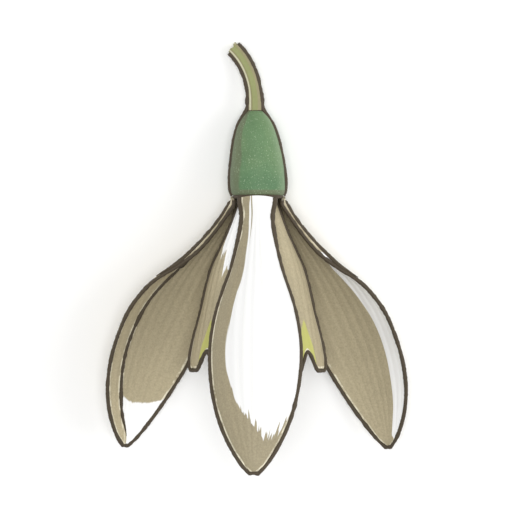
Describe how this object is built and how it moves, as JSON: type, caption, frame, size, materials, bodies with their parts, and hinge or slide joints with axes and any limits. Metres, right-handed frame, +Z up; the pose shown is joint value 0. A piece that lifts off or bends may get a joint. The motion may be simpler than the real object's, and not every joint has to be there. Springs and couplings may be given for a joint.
{
  "type": "snowdrop flower",
  "caption": "Nodding snowdrop flower lying on its side: three long outer tepals, notched inner tepals, stamens and style below a green ovary on a short cut stalk.",
  "frame": {"origin": "middle of the bounding box's underside, on the surface that the flower lies on", "axes": "+Z up, away from the surface; +Y towards the stalk's cut end, so the tepals' tips point to -Y; +X to the right of someone who looks down on the flower with the stalk away from them"},
  "size_m": [0.0266, 0.0364, 0.019],
  "materials": {
    "outer_tepal": "satin",
    "inner_tepal": "satin",
    "ovary": "satin",
    "stalk": "satin",
    "stamen": "matte",
    "style": "satin"
  },
  "bodies": {
    "root": {"ovary": "ovary", "pedicel": "stalk", "style": "style", "outer_tepal_middle": "outer_tepal", "outer_tepal_right": "outer_tepal", "outer_tepal_left": "outer_tepal", "inner_tepal_right": "inner_tepal", "inner_tepal_left": "inner_tepal", "inner_tepal_back": "inner_tepal", "stamen_1": "stamen", "stamen_2": "stamen", "stamen_3": "stamen", "stamen_4": "stamen", "stamen_5": "stamen", "stamen_6": "stamen"}
  },
  "joints": []
}
